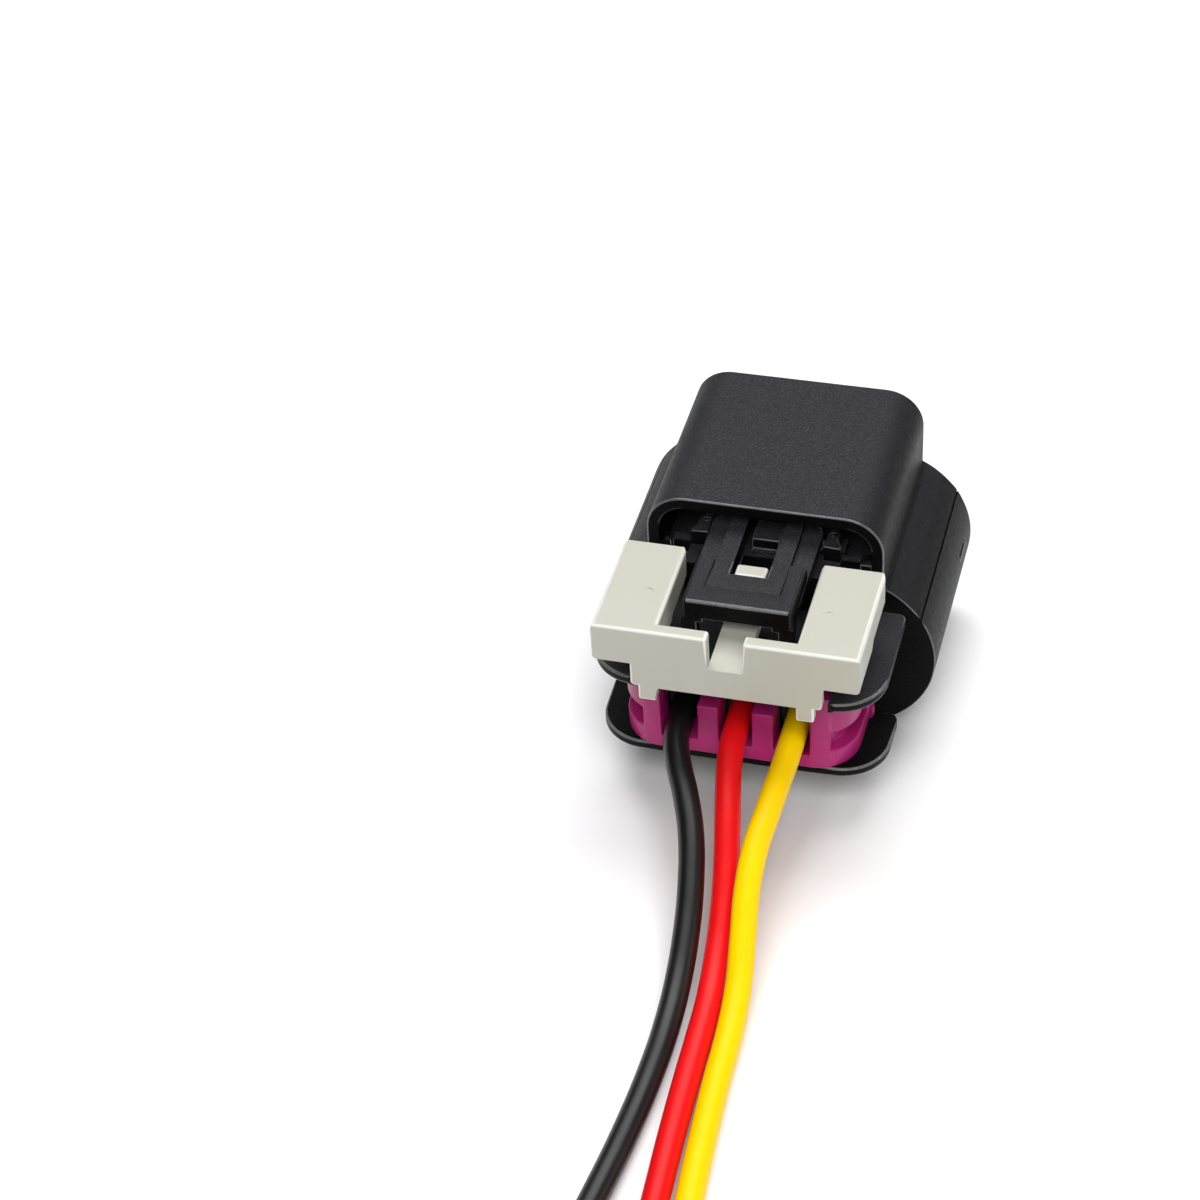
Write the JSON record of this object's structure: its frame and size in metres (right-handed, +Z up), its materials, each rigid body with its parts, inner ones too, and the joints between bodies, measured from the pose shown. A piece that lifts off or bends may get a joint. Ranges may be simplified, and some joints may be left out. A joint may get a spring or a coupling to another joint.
{
  "type": "sealed automotive connector",
  "caption": "Sealed oval plug connector with a hooded latch lever, sliding lock, comb-shaped wire lock, wire seals and coloured wires lying out behind it",
  "frame": {"origin": "on the resting surface, under the middle of the connector without its wires", "axes": "+X across the three wires, +Y out of the mating end along the plug direction, +Z up from the resting surface to the latch hood"},
  "size_m": [0.0322, 0.1781, 0.0253],
  "materials": {
    "black_plastic": "fine spark-textured glass-filled nylon, satin",
    "pale_plastic": "smooth warm pale grey, satin",
    "magenta_plastic": "smooth magenta, satin",
    "seal_rubber": "oiled silicone, slightly glossy",
    "tinned_copper": "matt tin plate on copper alloy sheet",
    "spring_steel": "plain rolled spring sheet",
    "insulation_black": "extruded, glossy",
    "insulation_red": "extruded, glossy",
    "insulation_yellow": "extruded, glossy",
    "bare_copper": "bare stranded copper"
  },
  "bodies": {
    "connector_body": {"housing": "black_plastic", "ring_seal": "seal_rubber", "wire_seal_left": "seal_rubber", "wire_seal_middle": "seal_rubber", "wire_seal_right": "seal_rubber", "terminal_left": "tinned_copper", "terminal_middle": "tinned_copper", "terminal_right": "tinned_copper", "contact_spring_left": "spring_steel", "contact_spring_middle": "spring_steel", "contact_spring_right": "spring_steel", "wire_black": "insulation_black", "wire_red": "insulation_red", "wire_yellow": "insulation_yellow", "conductor_black": "bare_copper", "conductor_red": "bare_copper", "conductor_yellow": "bare_copper"},
    "latch": {"latch_lever": "black_plastic"},
    "sliding_lock": {"slide_lock": "pale_plastic"},
    "wire_lock": {"comb_lock": "magenta_plastic"}
  },
  "joints": [
    {"name": "latch_press", "type": "hinge", "parent": "connector_body", "child": "latch", "pos_m": [0, -0.00025, 0.02055], "axis": [1, 0, 0], "range_deg": [0, 4], "stiffness_Nm_per_rad": 0.01, "springref_deg": -2.86},
    {"name": "lock_slide", "type": "slide", "parent": "connector_body", "child": "sliding_lock", "axis": [0, 1, 0], "range_m": [0, 0.0035]},
    {"name": "comb_release", "type": "slide", "parent": "connector_body", "child": "wire_lock", "axis": [0, -1, 0], "range_m": [0, 0.002]}
  ]
}
